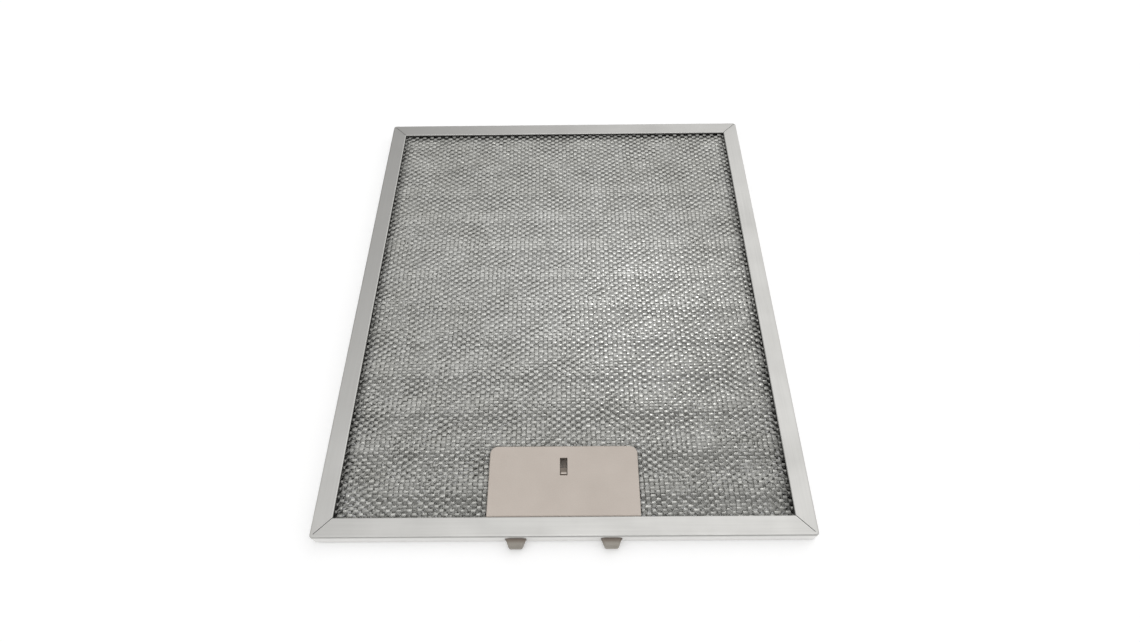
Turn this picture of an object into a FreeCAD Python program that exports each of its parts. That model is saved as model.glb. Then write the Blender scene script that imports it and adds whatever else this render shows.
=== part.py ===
import FreeCAD, Part
import math
import os

# Cooker hood grease filter, lying with its room side down and its hood side up.
# Millimetres. X runs along the latch edge, +Y points to the rear edge, +Z to the hood.
# The origin is under the middle of the whole footprint, latch tongues included.

# Frame: one aluminium strip folded to a U-channel with hemmed lips
FRAME_WIDTH = 253.0
FRAME_LENGTH = 300.0
FRAME_THICKNESS = 8.5
SHEET = 0.6
FLANGE_WIDTH = 10.2
HEM_WIDTH = 4.0
BEND_RADIUS = 1.0
CORNER_INNER_RADIUS = 1.4
MITRE_GAP = 0.3

# Filter pack: two expanded face meshes with two crimped layers between them
FACE_MESH_THICKNESS = 0.8
PACK_EDGE_GAP = 0.4
DIAMOND_LONG_WAY = 46.3
DIAMOND_SHORT_WAY = 34.8
STRAND_WIDTH = 5.4
STRAND_CREST = 1.2
MESH_MARGIN = 0.6
CRIMP_SHEET = 0.4
CRIMP_PITCH = 23.2
CRIMP_CREST = 7.0
CRIMP_SLOT_WIDTH = 5.2
CRIMP_SLOTS_ALONG = 2
CRIMP_BRIDGE = 6.0
SMALLEST_OPENING = 0.15

# Latch plates, clamped over the notch in the pack
PLATE_WIDTH = 78.0
PLATE_REACH = 47.6
PLATE_THICKNESS = 1.1
PLATE_CORNER_RADIUS = 4.0
PLATE_BEVEL = 0.4
PLATE_LAP = 3.0
PLATE_LIP_GAP = 0.15
HOUSING_WALL = 1.4
HOUSING_FRONT_GAP = 0.4
NOTCH_GAP = 0.3
SLOT_WIDTH = 4.0
SLOT_HOOK_MARGIN = 0.8
WINDOW_BAR = 3.1

# Slider with its tongues, finger pocket and stop nub
TRAVEL = 5.0
TONGUE_SPACING = 47.8
TONGUE_ROOT_WIDTH = 10.0
TONGUE_TIP_WIDTH = 6.6
TONGUE_REACH = 4.4
TONGUE_THICKNESS = 3.4
TONGUE_TIP_RADIUS = 1.4
TONGUE_RAMP = 0.9
TONGUE_BLOCK_LENGTH = 8.0
SLIDER_WEB = 1.2
SLIDER_GAP = 0.3
WEB_BEHIND_NUB = 2.0
POCKET_WIDTH = 40.0
POCKET_LENGTH = 14.0
POCKET_WALL = 1.2
POCKET_RIM_INSET = 0.25
NUB_WIDTH = 3.0
NUB_LENGTH = 1.6
NUB_FRONT_GAP = 0.9
NUB_BACK_GAP = 2.1
NUB_RECESS = 0.5

# Return springs, their seats and spigots
SPRING_DIAMETER = 4.0
SPRING_WIRE = 0.5
SPRING_TURNS = 5
SPRING_SEAT_FROM_BACK = 14.0
SPRING_BAY_GAP = 0.5
SPRING_END_GAP = 0.05
SPRING_STEPS_PER_TURN = 12
SPIGOT_GAP = 0.3
SPIGOT_LENGTH = 3.0

# Fixings of the room-side plate: guide ribs, snap hooks and front tab
RIB_THICKNESS = 1.2
RIB_POCKET_GAP = 1.0
RIB_TOP_GAP = 0.15
HOOK_SPACING = 24.0
HOOK_WIDTH = 8.0
HOOK_THICKNESS = 1.2
HOOK_WALL_GAP = 0.1
HOOK_NOSE = 0.9
HOOK_NOSE_HEIGHT = 1.2
HOOK_WINDOW_GAP = 0.2
TAB_WIDTH = 30.0
TAB_THICKNESS = 1.1
TAB_LAP = 2.0

# Places worked out from the sizes above
FRONT = (TONGUE_REACH - FRAME_LENGTH) / 2
BACK = FRONT + FRAME_LENGTH
MIDDLE = (FRONT + BACK) / 2
HALF_WIDTH = FRAME_WIDTH / 2
LIP = 2 * SHEET
LIP_ROUND = 0.9 * SHEET
CORNER_RADIUS = CORNER_INNER_RADIUS + SHEET
PACK_BOTTOM = LIP
PACK_TOP = FRAME_THICKNESS - LIP
CRIMP_HEIGHT = (PACK_TOP - PACK_BOTTOM) / 2 - FACE_MESH_THICKNESS
PACK_HALF_WIDTH = HALF_WIDTH - SHEET - PACK_EDGE_GAP
PACK_FRONT = FRONT + SHEET + PACK_EDGE_GAP
PACK_BACK = BACK - SHEET - PACK_EDGE_GAP

PLATE_FRONT = FRONT + FLANGE_WIDTH + PLATE_LIP_GAP
PLATE_BACK = FRONT + PLATE_REACH
HOUSING_FRONT = FRONT + SHEET + HOUSING_FRONT_GAP
HOUSING_BACK = PLATE_BACK - PLATE_LAP
HOUSING_INNER_BACK = HOUSING_BACK - HOUSING_WALL
HOUSING_HALF_WIDTH = PLATE_WIDTH / 2 - PLATE_LAP
HOUSING_INNER_HALF_WIDTH = HOUSING_HALF_WIDTH - HOUSING_WALL
NOTCH_HALF_WIDTH = HOUSING_HALF_WIDTH + NOTCH_GAP
NOTCH_BACK = HOUSING_BACK + NOTCH_GAP
HOOK_BACK = HOUSING_INNER_BACK - HOOK_WALL_GAP
HOOK_FRONT = HOOK_BACK - HOOK_THICKNESS
HOOK_NOSE_BOTTOM = (PACK_BOTTOM + PACK_TOP - HOOK_NOSE_HEIGHT) / 2
HOOK_NOSE_TOP = HOOK_NOSE_BOTTOM + HOOK_NOSE_HEIGHT
SLOT_BACK = HOOK_FRONT - SLOT_HOOK_MARGIN
SLOT_FRONT = SLOT_BACK - NUB_BACK_GAP - TRAVEL - NUB_LENGTH - NUB_FRONT_GAP
NUB_FRONT = SLOT_FRONT + NUB_FRONT_GAP
NUB_BACK = NUB_FRONT + NUB_LENGTH
WINDOW_FRONT = PLATE_FRONT + WINDOW_BAR

SLIDER_FRONT = FRONT + SHEET + SLIDER_GAP
SLIDER_BACK = NUB_BACK + WEB_BEHIND_NUB
SLIDER_HALF_WIDTH = HOUSING_INNER_HALF_WIDTH - SLIDER_GAP
WEB_TOP = PACK_TOP - SLIDER_GAP
WEB_BOTTOM = WEB_TOP - SLIDER_WEB
TONGUE_BOTTOM = (FRAME_THICKNESS - TONGUE_THICKNESS) / 2
TONGUE_TOP = TONGUE_BOTTOM + TONGUE_THICKNESS
TONGUE_BLOCK_BACK = SLIDER_FRONT + TONGUE_BLOCK_LENGTH
POCKET_OUTER_FRONT = WINDOW_FRONT + SLIDER_GAP
POCKET_INNER_FRONT = POCKET_OUTER_FRONT + POCKET_WALL
POCKET_INNER_BACK = POCKET_INNER_FRONT + POCKET_LENGTH
POCKET_OUTER_BACK = POCKET_INNER_BACK + POCKET_WALL
POCKET_OUTER_HALF_WIDTH = POCKET_WIDTH / 2 + POCKET_WALL
ROOM_FACE = PACK_BOTTOM - PLATE_THICKNESS
RIB_INNER = POCKET_OUTER_HALF_WIDTH + RIB_POCKET_GAP
RIB_OUTER = RIB_INNER + RIB_THICKNESS
RIB_FRONT = TONGUE_BLOCK_BACK + TRAVEL + SLIDER_GAP

SPRING_OFFSET = (RIB_OUTER + HOUSING_INNER_HALF_WIDTH) / 2
SPRING_SEAT = SLIDER_BACK - SPRING_SEAT_FROM_BACK
SPRING_HEIGHT = FRAME_THICKNESS / 2
SPIGOT_RADIUS = SPRING_DIAMETER / 2 - SPRING_WIRE - SPIGOT_GAP
SPRING_BAY_HALF_WIDTH = SPRING_DIAMETER / 2 + SPRING_BAY_GAP

EXTRA = 2.0
SIDES = (-1, 1)


def box(x_low, x_high, y_low, y_high, z_low, z_high):
    """A block between two corners."""
    corner = FreeCAD.Vector(x_low, y_low, z_low)
    return Part.makeBox(x_high - x_low, y_high - y_low, z_high - z_low, corner)


def prism(outline, z_low, z_high):
    """A flat outline of (x, y) points carried up from z_low to z_high."""
    points = [FreeCAD.Vector(x, y, z_low) for x, y in outline]
    face = Part.Face(Part.makePolygon(points + points[:1]))
    return face.extrude(FreeCAD.Vector(0, 0, z_high - z_low))


def edges_where(shape, test):
    """The edges of a shape whose two ends both pass a test."""
    return [edge for edge in shape.Edges if all(test(vertex.Point) for vertex in edge.Vertexes)]


def upright_edges(shape):
    """The edges of a shape that run straight along Z."""
    found = []
    for edge in shape.Edges:
        ends = [vertex.Point for vertex in edge.Vertexes]
        if len(ends) == 2 and math.hypot(ends[0].x - ends[1].x, ends[0].y - ends[1].y) < 1e-6:
            found.append(edge)
    return found


def level_edges(shape, height):
    """The edges of a shape that lie in the plane z = height."""
    return edges_where(shape, lambda point: abs(point.z - height) < 1e-6)


def corner_rounded_block(inset, radius):
    """The frame's outer block set in on every side, with its four upright edges rounded."""
    block = box(
        inset - HALF_WIDTH,
        HALF_WIDTH - inset,
        FRONT + inset,
        BACK - inset,
        inset,
        FRAME_THICKNESS - inset,
    )
    return block.makeFillet(radius, upright_edges(block))


def hem_ring(z_low, z_high):
    """The lip's folded-back strip, a flat ring round the frame's window."""
    reach = FLANGE_WIDTH - HEM_WIDTH
    return box(reach - HALF_WIDTH, HALF_WIDTH - reach, FRONT + reach, BACK - reach, z_low, z_high)


def mitre_slit(side_x, side_y, inset):
    """A thin upright cut along the diagonal of one corner, stopping inset from the outer faces."""
    run = (FLANGE_WIDTH + EXTRA - inset) * math.sqrt(2)
    slit = Part.makeBox(
        run, MITRE_GAP, FRAME_THICKNESS + 2 * EXTRA, FreeCAD.Vector(0, -MITRE_GAP / 2, -EXTRA)
    )
    turn = math.degrees(math.atan2(-side_y, -side_x))
    slit.rotate(FreeCAD.Vector(0, 0, 0), FreeCAD.Vector(0, 0, 1), turn)
    corner_x = side_x * (HALF_WIDTH - inset)
    corner_y = MIDDLE + side_y * (FRAME_LENGTH / 2 - inset)
    slit.translate(FreeCAD.Vector(corner_x, corner_y, 0))
    return slit


def make_frame():
    """U-channel folded round four sides: wall, two flanges, hemmed lips, mitre seams, tongue holes."""
    outside = corner_rounded_block(0, CORNER_RADIUS)
    bends = level_edges(outside, 0) + level_edges(outside, FRAME_THICKNESS)
    inside = corner_rounded_block(SHEET, CORNER_INNER_RADIUS)
    shell = outside.makeFillet(BEND_RADIUS, bends).cut(inside)
    lower_hem = hem_ring(SHEET, LIP)
    upper_hem = hem_ring(PACK_TOP, FRAME_THICKNESS - SHEET)
    window_half_width = HALF_WIDTH - FLANGE_WIDTH
    window_front = FRONT + FLANGE_WIDTH
    window_back = BACK - FLANGE_WIDTH
    window = box(
        -window_half_width,
        window_half_width,
        window_front,
        window_back,
        -EXTRA,
        FRAME_THICKNESS + EXTRA,
    )
    channel = shell.fuse([lower_hem, upper_hem]).cut(window).removeSplitter()

    def at_window_corner(point):
        across = abs(abs(point.x) - window_half_width) < 1e-6
        along = abs(point.y - window_front) < 1e-6 or abs(point.y - window_back) < 1e-6
        return across and along

    lips = []
    for level in (0, LIP, PACK_TOP, FRAME_THICKNESS):
        for edge in level_edges(channel, level):
            if all(at_window_corner(vertex.Point) for vertex in edge.Vertexes):
                lips.append(edge)
    channel = channel.makeFillet(LIP_ROUND, lips)
    cuts = []
    for side_x in SIDES:
        for side_y in SIDES:
            closing_corner = side_x > 0 and side_y > 0
            inset = -EXTRA if closing_corner else CORNER_RADIUS
            cuts.append(mitre_slit(side_x, side_y, inset))
    for side in SIDES:
        middle = side * TONGUE_SPACING / 2
        half_hole = TONGUE_ROOT_WIDTH / 2 + SLIDER_GAP
        cuts.append(
            box(
                middle - half_hole,
                middle + half_hole,
                FRONT - EXTRA,
                FRONT + SHEET + EXTRA,
                TONGUE_BOTTOM - SLIDER_GAP,
                TONGUE_TOP + SLIDER_GAP,
            )
        )
    return channel.cut(cuts)


def pack_outline():
    """The plan of a mesh layer: a rectangle in the channel with the latch notch cut from its front edge."""
    return [
        (-PACK_HALF_WIDTH, PACK_FRONT),
        (-NOTCH_HALF_WIDTH, PACK_FRONT),
        (-NOTCH_HALF_WIDTH, NOTCH_BACK),
        (NOTCH_HALF_WIDTH, NOTCH_BACK),
        (NOTCH_HALF_WIDTH, PACK_FRONT),
        (PACK_HALF_WIDTH, PACK_FRONT),
        (PACK_HALF_WIDTH, PACK_BACK),
        (-PACK_HALF_WIDTH, PACK_BACK),
    ]


def closed_solid(outlines):
    """The solid inside a closed set of plane faces, each given as a loop of points."""
    wires = [Part.makePolygon(loop + loop[:1]) for loop in outlines]
    shell = Part.makeShell([Part.makeFace(wire, "Part::FaceMakerSimple") for wire in wires])
    shell.sewShape()
    solid = Part.Solid(shell)
    if solid.Volume < 0:
        solid.reverse()
    return solid


def open_region(z_low, z_high):
    """The part of a mesh layer that may be open: the frame's window without the latch plates."""
    limit_x = HALF_WIDTH - FLANGE_WIDTH - MESH_MARGIN
    limit_y = FRAME_LENGTH / 2 - FLANGE_WIDTH - MESH_MARGIN
    latch_x = PLATE_WIDTH / 2 + MESH_MARGIN
    latch_back = PLATE_BACK + MESH_MARGIN
    window = box(-limit_x, limit_x, MIDDLE - limit_y, MIDDLE + limit_y, z_low, z_high)
    return window.cut(box(-latch_x, latch_x, FRONT, latch_back, z_low - EXTRA, z_high + EXTRA))


def cut_openings(layer, cutters, z_low, z_high):
    """Cuts the openings out of a mesh layer, short of the lips and plates and without slivers."""
    least = SMALLEST_OPENING * max(cutter.Volume for cutter in cutters)
    within = Part.makeCompound(cutters).common(open_region(z_low, z_high))
    return layer.cut([opening for opening in within.Solids if opening.Volume > least])


def diamond_funnel(column, row, crest, back):
    """The space in one mesh diamond: wide between the strands' crests, narrower between their feet.

    Its middle is counted in half diamonds from the middle of the window. The walls carry on at
    their slope a little past the sheet on both sides."""
    half_long = DIAMOND_LONG_WAY / 2
    half_short = DIAMOND_SHORT_WAY / 2
    reach_to_side = half_long * half_short / math.hypot(half_long, half_short)
    overrun = 0.2
    rings = []
    for share in (-overrun, 1 + overrun):
        strand = STRAND_CREST + share * (STRAND_WIDTH - STRAND_CREST)
        height = crest + share * (back - crest)
        size = 1 - strand / 2 / reach_to_side
        corners = [(column + size, row), (column, row + size), (column - size, row), (column, row - size)]
        rings.append([FreeCAD.Vector(x * half_long, MIDDLE + y * half_short, height) for x, y in corners])
    wide, narrow = rings
    walls = [[wide[i - 1], wide[i], narrow[i], narrow[i - 1]] for i in range(len(wide))]
    return closed_solid(rings + walls)


def make_face_mesh(crest, back):
    """An expanded mesh sheet: strands in a diamond lattice, narrow at height crest and wide at height back.

    Its rim is pressed flat, where the lips and the latch plates grip it."""
    z_low, z_high = sorted((crest, back))
    columns = int(FRAME_WIDTH / DIAMOND_LONG_WAY) + 1
    rows = int(FRAME_LENGTH / DIAMOND_SHORT_WAY) + 1
    funnels = []
    for row in range(-rows, rows + 1):
        for column in range(-columns, columns + 1):
            if (row + column) % 2 == 0:
                funnels.append(diamond_funnel(column, row, crest, back))
    sheet = prism(pack_outline(), z_low, z_high)
    return cut_openings(sheet, funnels, z_low - EXTRA, z_high + EXTRA)


def make_crimped_layer(bottom, ridges_along_x):
    """A mesh layer crimped to a row of flat-topped waves, with long slots in its crests and feet."""
    rise = CRIMP_HEIGHT - CRIMP_SHEET
    across = FRAME_LENGTH if ridges_along_x else FRAME_WIDTH
    length = FRAME_WIDTH if ridges_along_x else FRAME_LENGTH
    slot_pitch = (length - 2 * FLANGE_WIDTH) / CRIMP_SLOTS_ALONG
    slot_half_length = (slot_pitch - CRIMP_BRIDGE) / 2
    z_low = bottom - EXTRA
    z_high = bottom + CRIMP_HEIGHT + EXTRA

    def block(across_low, across_high, along_low, along_high):
        if ridges_along_x:
            return box(along_low, along_high, MIDDLE + across_low, MIDDLE + across_high, z_low, z_high)
        return box(across_low, across_high, MIDDLE + along_low, MIDDLE + along_high, z_low, z_high)

    waves = int(across / CRIMP_PITCH) + 2
    start = -waves * CRIMP_PITCH / 2
    line = []
    slots = []
    for fold in range(2 * waves):
        near = start + fold * CRIMP_PITCH / 2
        far = near + CRIMP_CREST
        height = rise * (fold % 2)
        line += [(near, height), (far, height)]
        slot_near = (near + far - CRIMP_SLOT_WIDTH) / 2
        for slot in range(CRIMP_SLOTS_ALONG):
            middle = (slot - (CRIMP_SLOTS_ALONG - 1) / 2) * slot_pitch
            slots.append(
                block(
                    slot_near,
                    slot_near + CRIMP_SLOT_WIDTH,
                    middle - slot_half_length,
                    middle + slot_half_length,
                )
            )
    section = [(place, height + CRIMP_SHEET) for place, height in reversed(line)] + line
    if ridges_along_x:
        points = [FreeCAD.Vector(-length, MIDDLE + place, bottom + height) for place, height in section]
        run = FreeCAD.Vector(2 * length, 0, 0)
    else:
        points = [FreeCAD.Vector(place, MIDDLE - length, bottom + height) for place, height in section]
        run = FreeCAD.Vector(0, 2 * length, 0)
    waved = Part.Face(Part.makePolygon(points + points[:1])).extrude(run)
    layer = waved.common(prism(pack_outline(), z_low, z_high))
    return cut_openings(layer, slots, z_low, z_high)


def plate_blank(z_low, z_high, show_face):
    """A latch plate: square at the flange, rounded at its two rear corners, bevelled round its face."""
    half = PLATE_WIDTH / 2
    plate = box(-half, half, PLATE_FRONT, PLATE_BACK, z_low, z_high)
    rear = [edge for edge in upright_edges(plate) if abs(edge.Vertexes[0].Point.y - PLATE_BACK) < 1e-6]
    plate = plate.makeFillet(PLATE_CORNER_RADIUS, rear)
    return plate.makeChamfer(PLATE_BEVEL, level_edges(plate, show_face))


def spigot(middle_x, start_y, length):
    """A square peg along Y, its corners on SPIGOT_RADIUS, that centres the end of a return spring."""
    half = SPIGOT_RADIUS / math.sqrt(2)
    low, high = sorted((start_y, start_y + length))
    return box(middle_x - half, middle_x + half, low, high, SPRING_HEIGHT - half, SPRING_HEIGHT + half)


def hook_spans():
    """The (low, high) X limits of each snap hook."""
    middles = [side * HOOK_SPACING / 2 for side in SIDES]
    return [(middle - HOOK_WIDTH / 2, middle + HOOK_WIDTH / 2) for middle in middles]


def make_latch_back_plate():
    """Visible plate with the stop slot, and the three housing walls under it."""
    top = PACK_TOP + PLATE_THICKNESS
    plate = plate_blank(PACK_TOP, top, top)
    slot = box(-SLOT_WIDTH / 2, SLOT_WIDTH / 2, SLOT_FRONT, SLOT_BACK, PACK_TOP - EXTRA, top + EXTRA)
    walls = []
    for side in SIDES:
        near, far = sorted((side * HOUSING_INNER_HALF_WIDTH, side * HOUSING_HALF_WIDTH))
        walls.append(box(near, far, HOUSING_FRONT, HOUSING_BACK, PACK_BOTTOM, PACK_TOP))
    walls.append(
        box(
            -HOUSING_HALF_WIDTH,
            HOUSING_HALF_WIDTH,
            HOUSING_INNER_BACK,
            HOUSING_BACK,
            PACK_BOTTOM,
            PACK_TOP,
        )
    )
    for side in SIDES:
        walls.append(spigot(side * SPRING_OFFSET, HOUSING_INNER_BACK, -SPIGOT_LENGTH))
    windows = []
    for low, high in hook_spans():
        windows.append(
            box(
                low - HOOK_WINDOW_GAP,
                high + HOOK_WINDOW_GAP,
                HOOK_BACK,
                HOUSING_BACK + EXTRA,
                HOOK_NOSE_BOTTOM - HOOK_WINDOW_GAP,
                HOOK_NOSE_TOP + HOOK_WINDOW_GAP,
            )
        )
    return plate.cut(slot).fuse(walls).cut(windows).removeSplitter()


def make_latch_front_plate():
    """Room-side plate with the finger window, guide ribs, snap hooks and the tab behind the lip."""
    plate = plate_blank(ROOM_FACE, PACK_BOTTOM, ROOM_FACE)
    window = box(
        -POCKET_OUTER_HALF_WIDTH - SLIDER_GAP,
        POCKET_OUTER_HALF_WIDTH + SLIDER_GAP,
        WINDOW_FRONT,
        POCKET_OUTER_BACK + TRAVEL + SLIDER_GAP,
        ROOM_FACE - EXTRA,
        PACK_BOTTOM + EXTRA,
    )
    pieces = []
    for side in SIDES:
        near, far = sorted((side * RIB_INNER, side * RIB_OUTER))
        pieces.append(box(near, far, RIB_FRONT, HOOK_FRONT, PACK_BOTTOM, WEB_BOTTOM - RIB_TOP_GAP))
    for low, high in hook_spans():
        pieces.append(box(low, high, HOOK_FRONT, HOOK_BACK, PACK_BOTTOM, HOOK_NOSE_TOP))
        pieces.append(box(low, high, HOOK_BACK, HOOK_BACK + HOOK_NOSE, HOOK_NOSE_BOTTOM, HOOK_NOSE_TOP))
    half_tab = TAB_WIDTH / 2
    tab_back = PLATE_FRONT + TAB_LAP
    pieces.append(box(-half_tab, half_tab, HOUSING_FRONT, tab_back, PACK_BOTTOM, PACK_BOTTOM + TAB_THICKNESS))
    return plate.cut(window).fuse(pieces).removeSplitter()


def tongue(middle_x):
    """One tapered latch tongue, rounded at its tip and ramped on the hood side."""
    half_root = TONGUE_ROOT_WIDTH / 2
    half_tip = TONGUE_TIP_WIDTH / 2
    tip = FRONT - TONGUE_REACH
    outline = [
        (middle_x - half_root, SLIDER_FRONT),
        (middle_x - half_root, FRONT),
        (middle_x - half_tip, tip),
        (middle_x + half_tip, tip),
        (middle_x + half_root, FRONT),
        (middle_x + half_root, SLIDER_FRONT),
    ]
    blade = prism(outline, TONGUE_BOTTOM, TONGUE_TOP)
    tip_corners = [edge for edge in upright_edges(blade) if abs(edge.Vertexes[0].Point.y - tip) < 1e-6]
    blade = blade.makeFillet(TONGUE_TIP_RADIUS, tip_corners)
    tip_edge = edges_where(blade, lambda point: point.y < tip + 1e-6 and point.z > TONGUE_TOP - 1e-6)
    return blade.makeChamfer(TONGUE_RAMP, tip_edge)


def make_latch_slider():
    """Sliding web with two tongues, the finger pocket under it, spring seats and the stop nub."""
    web = box(-SLIDER_HALF_WIDTH, SLIDER_HALF_WIDTH, SLIDER_FRONT, SLIDER_BACK, WEB_BOTTOM, WEB_TOP)
    bays = []
    pieces = []
    for side in SIDES:
        middle = side * SPRING_OFFSET
        low = middle - SPRING_BAY_HALF_WIDTH
        high = middle + SPRING_BAY_HALF_WIDTH
        bays.append(box(low, high, SPRING_SEAT, SLIDER_BACK + EXTRA, WEB_BOTTOM - EXTRA, WEB_TOP + EXTRA))
        seat_bottom = SPRING_HEIGHT - SPRING_DIAMETER / 2
        pieces.append(box(low, high, SPRING_SEAT - POCKET_WALL, SPRING_SEAT, seat_bottom, WEB_TOP))
        pieces.append(spigot(middle, SPRING_SEAT, SPIGOT_LENGTH))
        root = side * TONGUE_SPACING / 2
        block_low = root - TONGUE_ROOT_WIDTH / 2
        block_high = root + TONGUE_ROOT_WIDTH / 2
        pieces.append(box(block_low, block_high, SLIDER_FRONT, TONGUE_BLOCK_BACK, TONGUE_BOTTOM, WEB_TOP))
        pieces.append(tongue(root))
    skirt = box(
        -POCKET_OUTER_HALF_WIDTH,
        POCKET_OUTER_HALF_WIDTH,
        POCKET_OUTER_FRONT,
        POCKET_OUTER_BACK,
        ROOM_FACE + POCKET_RIM_INSET,
        WEB_BOTTOM,
    )
    pocket = box(
        -POCKET_WIDTH / 2,
        POCKET_WIDTH / 2,
        POCKET_INNER_FRONT,
        POCKET_INNER_BACK,
        ROOM_FACE - EXTRA,
        WEB_BOTTOM,
    )
    pieces.append(skirt.cut(pocket))
    nub_top = PACK_TOP + PLATE_THICKNESS - NUB_RECESS
    pieces.append(box(-NUB_WIDTH / 2, NUB_WIDTH / 2, NUB_FRONT, NUB_BACK, WEB_BOTTOM, nub_top))
    return web.cut(bays).fuse(pieces).removeSplitter()


def make_return_spring(middle_x):
    """A small compression coil between the slider's seat and the housing's rear wall.

    Its wire has a square section, carried round the coil in straight steps."""
    half = SPRING_WIRE / 2
    coil_radius = SPRING_DIAMETER / 2 - half
    start = SPRING_SEAT + SPRING_END_GAP + half
    end = HOUSING_INNER_BACK - SPRING_END_GAP - half
    steps = SPRING_TURNS * SPRING_STEPS_PER_TURN
    sections = []
    for step in range(steps + 1):
        angle = 2 * math.pi * step / SPRING_STEPS_PER_TURN
        along = start + (end - start) * step / steps
        section = []
        for side_radius, side_along in ((-half, -half), (half, -half), (half, half), (-half, half)):
            radius = coil_radius + side_radius
            x = middle_x + radius * math.cos(angle)
            z = SPRING_HEIGHT + radius * math.sin(angle)
            section.append(FreeCAD.Vector(x, along + side_along, z))
        sections.append(section)
    triangles = []
    for near, far in zip(sections, sections[1:]):
        for i in range(len(near)):
            triangles.append([near[i - 1], near[i], far[i]])
            triangles.append([near[i - 1], far[i], far[i - 1]])
    return closed_solid(triangles + [sections[0], sections[-1]])


crimp_split = PACK_BOTTOM + FACE_MESH_THICKNESS + CRIMP_HEIGHT
parts = {
    "frame": make_frame(),
    "rear_face_mesh": make_face_mesh(PACK_TOP, PACK_TOP - FACE_MESH_THICKNESS),
    "crimped_layer_upper": make_crimped_layer(crimp_split, True),
    "crimped_layer_lower": make_crimped_layer(crimp_split - CRIMP_HEIGHT, False),
    "front_face_mesh": make_face_mesh(PACK_BOTTOM, PACK_BOTTOM + FACE_MESH_THICKNESS),
    "latch_back_plate": make_latch_back_plate(),
    "latch_front_plate": make_latch_front_plate(),
    "latch_slider": make_latch_slider(),
    "return_spring_left": make_return_spring(-SPRING_OFFSET),
    "return_spring_right": make_return_spring(SPRING_OFFSET),
}

os.makedirs("parts", exist_ok=True)
for name, shape in parts.items():
    shape.exportStep(os.path.join("parts", name + ".step"))
    print(name, len(shape.Solids), "solid,", round(shape.Volume, 1), "mm3, valid", shape.isValid())
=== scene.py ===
import math

import bpy
import numpy as np
from mathutils import Matrix, Vector


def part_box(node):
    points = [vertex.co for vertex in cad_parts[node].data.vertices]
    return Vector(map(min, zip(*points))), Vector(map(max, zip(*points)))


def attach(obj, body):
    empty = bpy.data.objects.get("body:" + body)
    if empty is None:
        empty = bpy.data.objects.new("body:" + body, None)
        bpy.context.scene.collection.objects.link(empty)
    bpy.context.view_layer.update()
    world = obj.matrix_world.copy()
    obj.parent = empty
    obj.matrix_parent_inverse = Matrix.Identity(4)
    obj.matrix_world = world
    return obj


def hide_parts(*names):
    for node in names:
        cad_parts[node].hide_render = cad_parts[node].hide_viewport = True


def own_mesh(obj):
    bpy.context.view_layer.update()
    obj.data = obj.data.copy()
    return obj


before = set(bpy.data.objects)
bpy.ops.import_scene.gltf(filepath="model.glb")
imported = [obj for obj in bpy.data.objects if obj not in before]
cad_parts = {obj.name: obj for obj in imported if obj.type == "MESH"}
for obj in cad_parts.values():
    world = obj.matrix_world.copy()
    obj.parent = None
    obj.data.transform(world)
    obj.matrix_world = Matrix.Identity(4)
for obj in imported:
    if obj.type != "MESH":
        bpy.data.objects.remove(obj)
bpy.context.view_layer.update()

# Filter pack
# Four sheets of thin aluminium foil, slit in staggered rows and pulled open to diamonds. Two lie flat
# as the faces, two are crimped to waves between them, and all are cut out round the latch.
MM = 0.001
FOIL = 0.12
BOND_LENGTH = 2.0
BOND_LENGTH_SPREAD = 0.28
BOND_DRIFT = 0.13
STRAND_TILT = math.radians(22)
TILT_SPREAD = math.radians(2.5)
TILT_SPREADS_ALLOWED = 2.5
ROLL_SPREAD = math.radians(2.5)
CROWN_ACROSS = math.tan(math.radians(9))
CROWN_ALONG = math.tan(math.radians(5))
CRIMP_PITCH = 23.2
CRIMP_SLOPE = 4.6
CRIMP_START = 3.5
LATCH_LAP = 2.7
SPARE_BONDS = 3
SHARP_EDGE = math.radians(25)

# Stretching leaves the columns and rows of diamonds a little wavy. These say how far, and over what length.
COLUMN_STRAY = 0.25
COLUMN_STRAY_LENGTH = 19.0
COLUMN_SLANT = 0.15
COLUMN_SLANT_LENGTH = 31.0
ROW_STRAY = 0.35
ROW_STRAY_LENGTH = 27.0
ROW_SLANT = 0.2
ROW_SLANT_LENGTH = 43.0

frame_low, frame_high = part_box("frame")
frame_middle_y = (frame_low.y + frame_high.y) / 2 / MM
plate_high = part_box("latch_back_plate")[1]
notch_half_width = plate_high.x / MM - LATCH_LAP
notch_back = plate_high.y / MM - LATCH_LAP


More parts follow.
